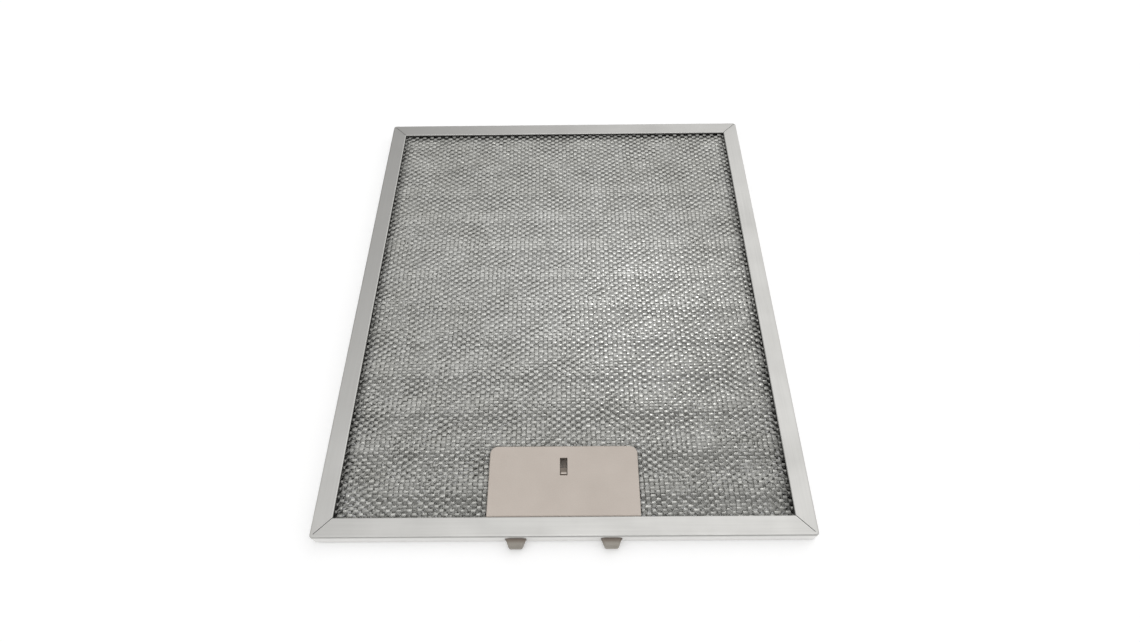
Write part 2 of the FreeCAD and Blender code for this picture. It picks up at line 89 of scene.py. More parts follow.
def flat_strands(width, length, strand, long_way, short_way, seed):
    """Stations (mm) along the strands of a flat expanded sheet, and which of them lie under their bond.

    Bonds lie on a staggered lattice, half a diamond apart each way. A bond is a small plane that leans
    back by the strand tilt. The strand below it is the plane's lower half, the strand above it the upper
    half, so row by row each strand runs from the bond under it to the bond over it and back. A strand has
    a station at each end of a bond: a triangle of its lower edge, its upper edge and a back edge one foil
    thickness behind them. Rows and columns then stray by sums of two sine waves."""
    random = np.random.default_rng(seed)
    step_x = long_way / 2
    step_y = short_way / 2
    half_columns = int(width / 2 / step_x) + SPARE_BONDS
    half_rows = int(length / 2 / step_y) + SPARE_BONDS
    row = np.arange(-half_rows, half_rows)[:, None]
    column = np.arange(-half_columns, half_columns + 1)[None, :]
    below_bond = (row + column) % 2 == 0
    bond_row = np.where(below_bond, row, row - 1)

    lattice = (2 * half_rows + 1, 2 * half_columns + 1)
    pick = (bond_row + half_rows + 1, column + half_columns + 0 * row)
    tilt = (STRAND_TILT + TILT_SPREAD * random.standard_normal(lattice))[pick]
    bond_x = column * step_x + BOND_DRIFT * random.standard_normal(lattice)[pick]
    bond_y = (bond_row + 1) * step_y + BOND_DRIFT * random.standard_normal(lattice)[pick]
    bond = BOND_LENGTH + BOND_LENGTH_SPREAD * random.standard_normal(lattice)[pick]
    roll = ROLL_SPREAD * random.standard_normal(lattice)[pick]

    side = np.where(below_bond, -1.0, 1.0)
    far_y = bond_y + side * strand * np.cos(tilt)
    far_z = side * strand * np.sin(tilt)
    low_y = np.where(below_bond, far_y, bond_y)
    low_z = np.where(below_bond, far_z, 0.0)
    high_y = np.where(below_bond, bond_y, far_y)
    high_z = np.where(below_bond, 0.0, far_z)
    back_y = (low_y + high_y) / 2 + FOIL * np.sin(tilt)
    back_z = (low_z + high_z) / 2 - FOIL * np.cos(tilt)

    both_ends = np.array([-0.5, 0.5])
    ends = bond_x[:, :, None] + both_ends * bond[:, :, None]
    x = np.repeat(ends[:, :, :, None], 3, axis=3)
    y = np.repeat(np.stack([low_y, high_y, back_y], axis=-1)[:, :, None, :], 2, axis=2)
    z = np.repeat(np.stack([low_z, high_z, back_z], axis=-1)[:, :, None, :], 2, axis=2)
    z = z + (np.tan(roll)[:, :, None] * both_ends * BOND_LENGTH)[:, :, :, None]
    stations = (x.shape[0], 2 * x.shape[1], 3)
    x, y, z = (values.reshape(stations) for values in (x, y, z))

    column_wave = COLUMN_STRAY * np.sin(y / COLUMN_STRAY_LENGTH + seed)
    column_slant = COLUMN_SLANT * np.sin((x + y) / COLUMN_SLANT_LENGTH)
    row_wave = ROW_STRAY * np.sin(x / ROW_STRAY_LENGTH + seed)
    row_slant = ROW_SLANT * np.sin((x - y) / ROW_SLANT_LENGTH + 2 * seed)
    return x + (column_wave + column_slant), y + (row_wave + row_slant), z, np.repeat(below_bond, 2, axis=1)


def crimp_wave(along):
    """Flat-topped wave between -1 and 1: a triangle wave steepened, then cut off at both limits."""
    turn = ((along - CRIMP_START) / CRIMP_PITCH) % 1.0
    triangle = 1 - 4 * np.abs(turn - 0.5)
    return np.clip(triangle * CRIMP_PITCH / 2 / CRIMP_SLOPE, -1, 1)


def crowned_normals(front, under, station, facing, crown):
    """Corner normals of the strands' front faces, whose foil is crowned.

    A corner's normal is its face's, leaned outwards: across the strand at the edge that lies away from
    the bond, and along it at both ends of a bond. Corners run low, low, high, high round a face."""
    flat = np.cross(front[:, 2] - front[:, 0], front[:, 3] - front[:, 1])
    flat *= facing / np.linalg.norm(flat, axis=1, keepdims=True)
    low_corner = np.array([True, True, False, False])
    on_bond = np.where(station % 2 == 0, crown * CROWN_ALONG, 0.0)
    lean = np.zeros((len(station), 4, 3))
    lean[:, :, 0] = on_bond[:, None] * np.array([-1, 1, 1, -1])
    lean[:, :, 1] = crown * CROWN_ACROSS * np.where(low_corner, -under, 1 - under)
    crowned = flat[:, None, :] + lean
    crowned /= np.linalg.norm(crowned, axis=2, keepdims=True)
    return crowned if facing > 0 else crowned[:, ::-1]


def expanded_sheet(box, facing, strand, long_way, short_way, turn, crimped_along, crown, seed):
    """Vertices (m), faces and corner normals of an expanded sheet that fills a box.

    The flat strands are turned in their plane and, on a crimped sheet, raised by the crimp's wave. A
    room-side sheet is mirrored to face down. Stations outside the box or inside the latch's notch are
    left out, and three walls join each station to the next. A strand is capped where it stops."""
    (x_low, y_low, z_low), (x_high, y_high, z_high) = (np.array(corner) / MM for corner in box)
    x, y, z, under = flat_strands(x_high - x_low, y_high - y_low, strand, long_way, short_way, seed)
    x, y = x * math.cos(turn) - y * math.sin(turn), x * math.sin(turn) + y * math.cos(turn)
    if crimped_along is not None:
        reach = strand * math.sin(STRAND_TILT + TILT_SPREADS_ALLOWED * TILT_SPREAD)
        rise = (z_high - z_low - 2 * reach - FOIL) / 2
        z = z + rise * crimp_wave(x if crimped_along == "x" else y)
    z = np.clip((z_low + z_high) / 2 + facing * (z + FOIL / 2), z_low, z_high)
    y = y + frame_middle_y

    inside = ((x > x_low) & (x < x_high) & (y > y_low) & (y < y_high)).all(axis=2)
    beside = (np.abs(x) > notch_half_width).all(axis=2) | (y > notch_back).all(axis=2)
    whole = inside & beside
    per_row = x.shape[1]
    keep = np.zeros((x.shape[0], per_row + 1), bool)
    keep[:, 1:-1] = whole[:, :-1] & whole[:, 1:]
    kept_row, station = np.nonzero(keep[:, 1:-1])
    first = (kept_row * per_row + station) * 3
    sides = np.array([(0, 3, 4, 1), (1, 4, 5, 2), (2, 5, 3, 0)])
    walls = (first[:, None, None] + sides).reshape(-1, 4)
    starts = first[~keep[kept_row, station]][:, None] + np.array([0, 1, 2])
    stops = first[~keep[kept_row, station + 2]][:, None] + np.array([5, 4, 3])
    caps = np.concatenate([starts, stops])

    points = np.stack([x, y, z], axis=-1).reshape(-1, 3)
    under_here = under[kept_row, station]
    under_next = under[kept_row, station + 1]
    under_corners = np.stack([under_here, under_next, under_next, under_here], axis=1).astype(float)
    normals = np.zeros((len(station), 3, 4, 3))
    normals[:, 0] = crowned_normals(points[walls[::3]], under_corners, station, facing, crown)
    normals = np.concatenate([normals.reshape(-1, 3), np.zeros((caps.size, 3))])
    used = np.zeros(x.size, bool)
    used[walls] = True
    renumber = np.cumsum(used) - 1
    walls, caps = renumber[walls], renumber[caps]
    if facing < 0:
        walls, caps = walls[:, ::-1], caps[:, ::-1]
    return points[used] * MM, walls.tolist() + caps.tolist(), normals


def add_piece(name, vertices, faces, material, body, node, normals=None):
    """A mesh object at the origin that stands for a CAD node, which it hides, and rides on its body.

    Corner normals of zero length stay as the mesh has them."""
    mesh = bpy.data.meshes.new(name)
    mesh.from_pydata(vertices.tolist(), [], faces)
    mesh.materials.append(material)
    mesh.shade_smooth()
    mesh.set_sharp_from_angle(angle=SHARP_EDGE)
    if normals is not None:
        mesh.normals_split_custom_set(normals.tolist())
    piece = bpy.data.objects.new(name, mesh)
    bpy.context.scene.collection.objects.link(piece)
    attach(piece, body)
    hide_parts(node)
    return piece


def linear(hex_colour):
    """sRGB hex such as C0B5AA as linear RGBA, by the sRGB curve."""
    srgb = np.array([int(hex_colour[i:i + 2], 16) for i in (0, 2, 4)]) / 255
    rgb = np.where(srgb <= 0.04045, srgb / 12.92, ((srgb + 0.055) / 1.055) ** 2.4)
    return (*rgb.tolist(), 1.0)


def add_node(tree, kind, sockets=None, **settings):
    """Adds one node. Settings are its own properties. Sockets are inputs by name or number, each given
    a value or another node's output to link."""
    node = tree.nodes.new(kind)
    for name, value in settings.items():
        setattr(node, name, value)
    for socket, value in (sockets or {}).items():
        if isinstance(value, bpy.types.NodeSocket):
            tree.links.new(value, node.inputs[socket])
        else:
            node.inputs[socket].default_value = value
    return node


def new_finish(name):
    """A plain node material, with its tree and its Principled shader to work on."""
    material = bpy.data.materials.new(name)
    material.use_nodes = True
    tree = material.node_tree
    return material, tree, tree.nodes["Principled BSDF"]


# Rolled foil, slit and stretched: each strand is a small mirror, slightly wrinkled by the stretching. A film
# of grease dulls it in patches and spots, and it is smoothest at the middle right. Painted shade darkens its
# colour away from the middle, which leaves a painted pool of light there, and it has painted shade where the
# frame grips it and beside the latch plate.
FACE_FOIL = "BABAB7"
FACE_SMOOTHEST = 0.2
FACE_ROUGHEST = 0.34
# The crimped layers' colour is painted lighter than the faces', as painted light.
INNER_FOIL_PAINTED_LIGHTER = "D0D0CD"
INNER_SMOOTHEST = 0.5
INNER_ROUGHEST = 0.6
FILM = "97968F"
FILM_PATCH = 14.0
FILM_PATCH_FROM = 0.35
FILM_PATCH_TO = 0.85
FILM_PATCH_SHARE = 0.35
# Painted shade: the colour goes over towards the film's between these distances from the middle.
BRIGHT_MIDDLE = (0.0, 14.0, 4.0)
BRIGHT_MIDDLE_INNER = 35.0
BRIGHT_MIDDLE_OUTER = 115.0
OFF_MIDDLE_SHADE_SHARE = 0.26
CLEAN_PATCH = (58.0, -25.0, 7.0)
CLEAN_PATCH_INNER = 35.0
CLEAN_PATCH_OUTER = 85.0
FILM_SPOT = 3.0
FILM_SPOT_FROM = 0.3
FILM_SPOT_TO = 0.7
FILM_SPOT_ROUGHNESS = 0.07
WRINKLE = 1.0
WRINKLE_HEIGHT = 0.03
FLANGE_WIDTH = 10.2
# Painted shade at the rim and beside the latch plate, down to the deepest share.
RIM_SHADE = 6.0
PLATE_SHADE = 1.6
DEEPEST_SHADE = 0.42

window_half_width = frame_high.x - FLANGE_WIDTH * MM
window_back = frame_high.y - FLANGE_WIDTH * MM


def foil_finish(name, clean, smoothest, roughest):
    """Aluminium foil: its colour goes over to the film's in patches, and as painted shade away from the
    middle, and then into painted shade at the rim and beside the plate. Its roughness grows away from the
    clean patch, and its wrinkles are raised."""
    finish, tree, shader = new_finish(name)
    place = add_node(tree, "ShaderNodeTexCoord").outputs["Object"]
    patches = add_node(
        tree, "ShaderNodeTexNoise", {"Vector": place, "Scale": 1 / (FILM_PATCH * MM), "Detail": 4.0}
    ).outputs["Fac"]
    patch_limits = {"From Min": FILM_PATCH_FROM, "From Max": FILM_PATCH_TO, "To Max": FILM_PATCH_SHARE}
    patch_film = add_node(tree, "ShaderNodeMapRange", {"Value": patches, **patch_limits}).outputs["Result"]
    # Painted shade away from the middle, which leaves a painted pool of light there.
    middle = tuple(part * MM for part in BRIGHT_MIDDLE)
    off_middle = add_node(tree, "ShaderNodeVectorMath", {0: place, 1: middle}, operation="DISTANCE")
    middle_limits = {
        "From Min": BRIGHT_MIDDLE_INNER * MM,
        "From Max": BRIGHT_MIDDLE_OUTER * MM,
        "To Max": OFF_MIDDLE_SHADE_SHARE,
    }
    off_middle_shade = add_node(
        tree, "ShaderNodeMapRange", {"Value": off_middle.outputs["Value"], **middle_limits}
    ).outputs["Result"]
    film_and_shade = add_node(tree, "ShaderNodeMath", {0: patch_film, 1: off_middle_shade}, operation="ADD").outputs[0]
    filmed_and_shaded = add_node(
        tree, "ShaderNodeMix", {"Factor": film_and_shade, "A": linear(clean), "B": linear(FILM)}, data_type="RGBA"
    ).outputs["Result"]

    spot = add_node(tree, "ShaderNodeSeparateXYZ", {"Vector": place})
    from_axis = add_node(tree, "ShaderNodeMath", {0: spot.outputs["X"]}, operation="ABSOLUTE").outputs[0]
    to_side = add_node(tree, "ShaderNodeMath", {0: window_half_width, 1: from_axis}, operation="SUBTRACT")
    to_back = add_node(tree, "ShaderNodeMath", {0: window_back, 1: spot.outputs["Y"]}, operation="SUBTRACT")
    to_rim = add_node(
        tree, "ShaderNodeMath", {0: to_side.outputs[0], 1: to_back.outputs[0]}, operation="MINIMUM"
    ).outputs[0]
    past_side = add_node(tree, "ShaderNodeMath", {0: from_axis, 1: plate_high.x}, operation="SUBTRACT")
    past_back = add_node(
        tree, "ShaderNodeMath", {0: spot.outputs["Y"], 1: plate_high.y}, operation="SUBTRACT"
    )
    past_plate = add_node(
        tree, "ShaderNodeMath", {0: past_side.outputs[0], 1: past_back.outputs[0]}, operation="MAXIMUM"
    ).outputs[0]
    # Painted shade at the rim and beside the latch plate.
    shades = []
    for distance, depth in ((to_rim, RIM_SHADE), (past_plate, PLATE_SHADE)):
        limits = {"From Max": depth * MM, "To Min": DEEPEST_SHADE, "To Max": 1.0}
        shades.append(add_node(tree, "ShaderNodeMapRange", {"Value": distance, **limits}).outputs["Result"])
    shade = add_node(tree, "ShaderNodeMath", {0: shades[0], 1: shades[1]}, operation="MULTIPLY").outputs[0]
    shaded = add_node(
        tree,
        "ShaderNodeMix",
        {"Factor": 1.0, "A": filmed_and_shaded, "B": shade},
        data_type="RGBA",
        blend_type="MULTIPLY",
    ).outputs["Result"]
    tree.links.new(shaded, shader.inputs["Base Color"])

    centre = tuple(part * MM for part in CLEAN_PATCH)
    off_clean = add_node(tree, "ShaderNodeVectorMath", {0: place, 1: centre}, operation="DISTANCE")
    clean_limits = {
        "From Min": CLEAN_PATCH_INNER * MM,
        "From Max": CLEAN_PATCH_OUTER * MM,
        "To Min": smoothest,
        "To Max": roughest,
    }
    dulled = add_node(
        tree, "ShaderNodeMapRange", {"Value": off_clean.outputs["Value"], **clean_limits}
    ).outputs["Result"]
    spots = add_node(
        tree, "ShaderNodeTexNoise", {"Vector": place, "Scale": 1 / (FILM_SPOT * MM), "Detail": 2.0}
    ).outputs["Fac"]
    spot_limits = {
        "From Min": FILM_SPOT_FROM,
        "From Max": FILM_SPOT_TO,
        "To Min": -FILM_SPOT_ROUGHNESS,
        "To Max": FILM_SPOT_ROUGHNESS,
    }
    uneven = add_node(tree, "ShaderNodeMapRange", {"Value": spots, **spot_limits}).outputs["Result"]
    roughness = add_node(tree, "ShaderNodeMath", {0: dulled, 1: uneven}, operation="ADD").outputs[0]
    tree.links.new(roughness, shader.inputs["Roughness"])

    wrinkle = add_node(
        tree, "ShaderNodeTexNoise", {"Vector": place, "Scale": 1 / (WRINKLE * MM), "Detail": 1.0}
    ).outputs["Fac"]
    wrinkled = add_node(
        tree, "ShaderNodeBump", {"Height": wrinkle, "Strength": 1.0, "Distance": WRINKLE_HEIGHT * MM}
    ).outputs["Normal"]
    tree.links.new(wrinkled, shader.inputs["Normal"])
    shader.inputs["Metallic"].default_value = 1.0
    return finish


# The faces have the foil's mill finish. The crimped layers have its matte side out, which scatters the light
# that comes in through the diamonds, and their colour is painted lighter than the faces', as painted light.
face_foil = foil_finish("mill_finish_aluminium_foil", FACE_FOIL, FACE_SMOOTHEST, FACE_ROUGHEST)
inner_foil_painted_lighter = foil_finish("matte_aluminium_foil_painted_lighter", INNER_FOIL_PAINTED_LIGHTER, INNER_SMOOTHEST, INNER_ROUGHEST)

# The faces share one weave. Each crimped layer has a pitch and a turn of its own, so that the rows don't
# line up through the pack.
FACE_MESH = {
    "strand": 0.68,
    "long_way": 5.4,
    "short_way": 3.9,
    "turn": 0.0,
    "crimped_along": None,
    "crown": 1.0,
}
LOWER_LAYER = {
    "strand": 1.05,
    "long_way": 5.8,
    "short_way": 3.7,
    "turn": -0.07,
    "crimped_along": "x",
    "crown": 0.4,
}
UPPER_LAYER = {
    "strand": 1.0,
    "long_way": 5.1,
    "short_way": 3.5,
    "turn": 0.04,
    "crimped_along": "y",
    "crown": 0.4,
}
PACK_SHEETS = {
    "front_face_mesh": {**FACE_MESH, "facing": -1, "seed": 1},
    "crimped_layer_lower": {**LOWER_LAYER, "facing": 1, "seed": 2},
    "crimped_layer_upper": {**UPPER_LAYER, "facing": 1, "seed": 3},
    "rear_face_mesh": {**FACE_MESH, "facing": 1, "seed": 4},
}
for node, sheet in PACK_SHEETS.items():
    foil = face_foil if sheet["crimped_along"] is None else inner_foil_painted_lighter
    vertices, faces, normals = expanded_sheet(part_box(node), **sheet)
    add_piece(node + "_expanded", vertices, faces, foil, "filter", node, normals)

# Latch plates and slider
# Two moulded plates clamp over the notch in the pack, one on each side, with the slider between them.
# All three are beige-grey plastic with a fine spark-eroded texture. The slider is the darker one.
PLATE_BEIGE = "D0C5BB"
PLATE_BEIGE_SHADE = "C4B9AF"
SLIDER_BEIGE = "A6A097"
SLIDER_BEIGE_SHADE = "948E85"
PLASTIC_CLOUD = 18.0
PLASTIC_SMOOTHEST = 0.48
PLASTIC_ROUGHEST = 0.62
PLASTIC_IOR = 1.53

# The grain is drawn several times coarser than the real texture, so that it shows.
MOULD_GRAIN = 0.6
MOULD_GRAIN_HEIGHT = 0.05
MOULD_GRAIN_STRENGTH = 0.35
MOULD_GRAIN_SHARE = 0.8
MOTTLE_FROM = 0.5


def moulded_finish(name, base, shade):
    """Moulded plastic: mottled between two shades by a soft cloud and a fine grain, which is also raised."""
    finish, tree, shader = new_finish(name)
    place = add_node(tree, "ShaderNodeTexCoord").outputs["Object"]
    cloud = add_node(
        tree, "ShaderNodeTexNoise", {"Vector": place, "Scale": 1 / (PLASTIC_CLOUD * MM), "Detail": 3.0}
    ).outputs["Fac"]
    grain = add_node(
        tree, "ShaderNodeTexNoise", {"Vector": place, "Scale": 1 / (MOULD_GRAIN * MM), "Detail": 2.0}
    ).outputs["Fac"]
    mottle = add_node(
        tree, "ShaderNodeMath", {0: grain, 1: MOULD_GRAIN_SHARE, 2: cloud}, operation="MULTIPLY_ADD"
    ).outputs[0]
    mottle_limits = {"From Min": MOTTLE_FROM, "From Max": MOTTLE_FROM + MOULD_GRAIN_SHARE}
    tone = add_node(tree, "ShaderNodeMapRange", {"Value": mottle, **mottle_limits}).outputs["Result"]
    colour = add_node(
        tree, "ShaderNodeMix", {"Factor": tone, "A": linear(base), "B": linear(shade)}, data_type="RGBA"
    ).outputs["Result"]
    tree.links.new(colour, shader.inputs["Base Color"])
    rough_limits = {"To Min": PLASTIC_SMOOTHEST, "To Max": PLASTIC_ROUGHEST}
    roughness = add_node(tree, "ShaderNodeMapRange", {"Value": cloud, **rough_limits}).outputs["Result"]
    tree.links.new(roughness, shader.inputs["Roughness"])
    raised = {"Strength": MOULD_GRAIN_STRENGTH, "Distance": MOULD_GRAIN_HEIGHT * MM}
    bump = add_node(tree, "ShaderNodeBump", {"Height": grain, **raised}).outputs["Normal"]
    tree.links.new(bump, shader.inputs["Normal"])
    shader.inputs["IOR"].default_value = PLASTIC_IOR
    return finish


# Moulded ABS for the plates and moulded POM for the slider: an even, dull colour, with a shine that the
# grain breaks up.
plate_plastic = moulded_finish("moulded_abs_beige_fine_texture", PLATE_BEIGE, PLATE_BEIGE_SHADE)
slider_plastic = moulded_finish("moulded_pom_grey_fine_texture", SLIDER_BEIGE, SLIDER_BEIGE_SHADE)

# Painted shade darkens the slider's web, which shows down through the slot, and the roots of its tongues at
# the frame's front wall. A painted highlight makes the front of its nub's top pale.
SLIDER_PAINTED_SHADE = "80756B"
WEB_SHADE_FROM = 6.4
ROOT_SHADE_REACH = 2.3
ROOT_SHADE_FADE = 1.3
NUB_PAINTED_HIGHLIGHT = "CFC5BB"
NUB_HIGHLIGHT_FROM = 7.4
NUB_HIGHLIGHT_TO_BACK = 2.6
PAINTED_LIGHT_FADE = 0.3

# Masks for the slider's painted shade and its nub's painted highlight.
slider_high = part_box("latch_slider")[1]
highlight_back = slider_high.y - NUB_HIGHLIGHT_TO_BACK * MM
tree = slider_plastic.node_tree
shader = tree.nodes["Principled BSDF"]
plain = shader.inputs["Base Color"].links[0].from_socket
place = add_node(tree, "ShaderNodeTexCoord").outputs["Object"]
spot = add_node(tree, "ShaderNodeSeparateXYZ", {"Vector": place})
past_wall = add_node(tree, "ShaderNodeMath", {0: spot.outputs["Y"], 1: frame_low.y}, operation="SUBTRACT")
off_wall = add_node(tree, "ShaderNodeMath", {0: past_wall.outputs[0]}, operation="ABSOLUTE").outputs[0]
painted_light_limits = {
    "root": (off_wall, ROOT_SHADE_REACH * MM, (ROOT_SHADE_REACH - ROOT_SHADE_FADE) * MM),
    "web": (spot.outputs["Z"], WEB_SHADE_FROM * MM, (WEB_SHADE_FROM + PAINTED_LIGHT_FADE) * MM),
    "nub_top": (spot.outputs["Z"], NUB_HIGHLIGHT_FROM * MM, (NUB_HIGHLIGHT_FROM + PAINTED_LIGHT_FADE) * MM),
    "nub_front": (spot.outputs["Y"], highlight_back, highlight_back - PAINTED_LIGHT_FADE * MM),
}
painted_masks = {}
for part, (value, start, stop) in painted_light_limits.items():
    limits = {"Value": value, "From Min": start, "From Max": stop}
    painted_masks[part] = add_node(tree, "ShaderNodeMapRange", limits).outputs["Result"]
slider_shade_mask = add_node(tree, "ShaderNodeMath", {0: painted_masks["web"], 1: painted_masks["root"]}, operation="MAXIMUM").outputs[0]
nub_highlight_mask = add_node(
    tree, "ShaderNodeMath", {0: painted_masks["nub_top"], 1: painted_masks["nub_front"]}, operation="MULTIPLY"
).outputs[0]
slider_shaded = add_node(
    tree, "ShaderNodeMix", {"Factor": slider_shade_mask, "A": plain, "B": linear(SLIDER_PAINTED_SHADE)}, data_type="RGBA"
).outputs["Result"]
slider_colour = add_node(
    tree, "ShaderNodeMix", {"Factor": nub_highlight_mask, "A": slider_shaded, "B": linear(NUB_PAINTED_HIGHLIGHT)}, data_type="RGBA"
).outputs["Result"]
tree.links.new(slider_colour, shader.inputs["Base Color"])

LATCH_FINISHES = {
    "latch_front_plate": plate_plastic,
    "latch_slider": slider_plastic,
    "latch_back_plate": plate_plastic,
}
for node, finish in LATCH_FINISHES.items():
    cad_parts[node].data.materials.clear()
    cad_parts[node].data.materials.append(finish)

# Return springs
# Two small compression springs of drawn steel wire push the slider's tongues out. They stand on
# square spigots between the slider's seats and the rear wall of the housing.
WIRE_DIAMETER = 0.5
SPRING_TURNS = 5
STEPS_PER_TURN = 24
WIRE_SIDES = 8
WIRE_STEEL = "B4B5B7"
WIRE_OILED = "8C8B88"
OIL_SPOT = 1.5
WIRE_SMOOTHEST = 0.22
WIRE_ROUGHEST = 0.4


def wire_coil(box):
    """Vertices (m) and faces of a round-wire coil along Y that fills a box.

    The path turns evenly about the box's axis while it moves along it, and a ring of the wire's
    radius is carried round the path, square to the coil's circle. The two end rings are closed."""
    low, high = (np.array(corner) / MM for corner in box)
    centre = (low + high) / 2
    wire = WIRE_DIAMETER / 2
    coil_radius = (high[0] - low[0]) / 2 - wire
    share = np.linspace(0, 1, SPRING_TURNS * STEPS_PER_TURN + 1)[:, None]
    angle = 2 * math.pi * SPRING_TURNS * share
    around = np.linspace(0, 2 * math.pi, WIRE_SIDES, endpoint=False)[None, :]
    radius = coil_radius + wire * np.cos(around)
    x = centre[0] + radius * np.cos(angle)
    z = centre[2] + radius * np.sin(angle)
    y = low[1] + wire + (high[1] - low[1] - 2 * wire) * share + wire * np.sin(around)
    rings = len(share)
    ring = np.arange(rings - 1)[:, None] * WIRE_SIDES
    corner = np.arange(WIRE_SIDES)[None, :]
    following = (corner + 1) % WIRE_SIDES
    corners = (ring + corner, ring + following, ring + WIRE_SIDES + following, ring + WIRE_SIDES + corner)
    walls = np.stack(corners, axis=-1).reshape(-1, 4).tolist()
    last = (rings - 1) * WIRE_SIDES
    caps = [list(range(WIRE_SIDES))[::-1], list(range(last, last + WIRE_SIDES))]
    return np.stack([x, y, z], axis=-1).reshape(-1, 3) * MM, walls + caps


# Drawn spring wire: grey steel, darker and duller in spots where it holds a film of oil.
spring_wire, tree, shader = new_finish("drawn_spring_steel_wire")
place = add_node(tree, "ShaderNodeTexCoord").outputs["Object"]
oil = add_node(
    tree, "ShaderNodeTexNoise", {"Vector": place, "Scale": 1 / (OIL_SPOT * MM), "Detail": 3.0}
).outputs["Fac"]
wire_colours = {"A": linear(WIRE_STEEL), "B": linear(WIRE_OILED)}
wire_colour = add_node(
    tree, "ShaderNodeMix", {"Factor": oil, **wire_colours}, data_type="RGBA"
).outputs["Result"]
tree.links.new(wire_colour, shader.inputs["Base Color"])
wire_limits = {"To Min": WIRE_SMOOTHEST, "To Max": WIRE_ROUGHEST}
wire_roughness = add_node(tree, "ShaderNodeMapRange", {"Value": oil, **wire_limits}).outputs["Result"]
tree.links.new(wire_roughness, shader.inputs["Roughness"])
shader.inputs["Metallic"].default_value = 1.0

for node in ("return_spring_left", "return_spring_right"):
    spring_low, spring_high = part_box(node)
    vertices, faces = wire_coil((spring_low, spring_high))
    spring = add_piece(node + "_coil", vertices, faces, spring_wire, "filter", node)
    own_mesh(spring)

# Frame
# One strip of aluminium sheet, rolled to a channel with hemmed lips, notched at the corners and folded
# round the pack, so the grain runs along each side and the flanges meet in mitres.
STRIP = "D0CFCC"
STRIP_DULL = "C7C6C3"
STRIP_SMOOTHEST = 0.36
STRIP_ROUGHEST = 0.5
# Painted light: the walls are coloured lighter than the flanges.
WALL_PAINTED_LIGHT = "E6E5E3"
WALL_REACH = 3.65
WALL_FADE = 0.6
SMUDGE = 30.0
WAVINESS = 16.0
WAVINESS_HEIGHT = 0.4
WAVINESS_STRENGTH = 0.12

# The grain is drawn several times coarser than real rolling marks, so that it shows.
GRAIN_WIDTH = 0.7
GRAIN_LENGTH = 45.0
GRAIN_HEIGHT = 0.05
GRAIN_STRENGTH = 0.05
GRAIN_SHARE = 0.5
TONE_LIMITS = {"From Min": 0.5, "From Max": 1.0}

# Rolled strip with a satin grain: a soft grey sheen along each side, smudged by handling. The walls have
# painted light: their colour is lighter than the flanges'.
strip_metal, tree, shader = new_finish("satin_rolled_aluminium_strip")
place = add_node(tree, "ShaderNodeTexCoord").outputs["Object"]
spot = add_node(tree, "ShaderNodeSeparateXYZ", {"Vector": place})
from_axis = add_node(tree, "ShaderNodeMath", {0: spot.outputs["X"]}, operation="ABSOLUTE").outputs[0]
past_middle = add_node(
    tree, "ShaderNodeMath", {0: spot.outputs["Y"], 1: frame_middle_y * MM}, operation="SUBTRACT"
)
from_middle = add_node(tree, "ShaderNodeMath", {0: past_middle.outputs[0]}, operation="ABSOLUTE").outputs[0]
longer_by = (frame_high.y - frame_low.y - frame_high.x + frame_low.x) / 2
mitre_line = add_node(
    tree, "ShaderNodeMath", {0: from_middle, 1: longer_by}, operation="SUBTRACT"
).outputs[0]
along_x = add_node(
    tree, "ShaderNodeMath", {0: mitre_line, 1: from_axis}, operation="GREATER_THAN"
).outputs[0]
grains = []
for across_x, across_y in ((GRAIN_WIDTH, GRAIN_LENGTH), (GRAIN_LENGTH, GRAIN_WIDTH)):
    scale = (1 / (across_x * MM), 1 / (across_y * MM), 1 / (GRAIN_WIDTH * MM))
    stretched = add_node(tree, "ShaderNodeMapping", {"Vector": place, "Scale": scale}).outputs["Vector"]
    lines = {"Vector": stretched, "Scale": 1.0, "Detail": 3.0}
    grains.append(add_node(tree, "ShaderNodeTexNoise", lines).outputs["Fac"])
grain = add_node(
    tree, "ShaderNodeMix", {"Factor": along_x, "A": grains[0], "B": grains[1]}, data_type="FLOAT"
).outputs["Result"]
smudge = add_node(
    tree, "ShaderNodeTexNoise", {"Vector": place, "Scale": 1 / (SMUDGE * MM), "Detail": 5.0}
).outputs["Fac"]
tone = add_node(
    tree, "ShaderNodeMath", {0: grain, 1: GRAIN_SHARE, 2: smudge}, operation="MULTIPLY_ADD"
).outputs[0]
dull = add_node(tree, "ShaderNodeMapRange", {"Value": tone, **TONE_LIMITS}).outputs["Result"]
flange_colour = add_node(
    tree, "ShaderNodeMix", {"Factor": dull, "A": linear(STRIP), "B": linear(STRIP_DULL)}, data_type="RGBA"
).outputs["Result"]
# Painted light on the walls, which fades out towards the flanges.
wall_middle = (frame_low.z + frame_high.z) / 2
above_middle = add_node(
    tree, "ShaderNodeMath", {0: spot.outputs["Z"], 1: wall_middle}, operation="SUBTRACT"
)
off_middle = add_node(tree, "ShaderNodeMath", {0: above_middle.outputs[0]}, operation="ABSOLUTE").outputs[0]
wall_limits = {"From Min": WALL_REACH * MM, "From Max": (WALL_REACH - WALL_FADE) * MM}
wall_painted_light = add_node(tree, "ShaderNodeMapRange", {"Value": off_middle, **wall_limits}).outputs["Result"]
strip_colours = {"A": flange_colour, "B": linear(WALL_PAINTED_LIGHT)}
strip_colour = add_node(
    tree, "ShaderNodeMix", {"Factor": wall_painted_light, **strip_colours}, data_type="RGBA"
).outputs["Result"]
tree.links.new(strip_colour, shader.inputs["Base Color"])
strip_limits = {**TONE_LIMITS, "To Min": STRIP_SMOOTHEST, "To Max": STRIP_ROUGHEST}
strip_roughness = add_node(tree, "ShaderNodeMapRange", {"Value": tone, **strip_limits}).outputs["Result"]
tree.links.new(strip_roughness, shader.inputs["Roughness"])
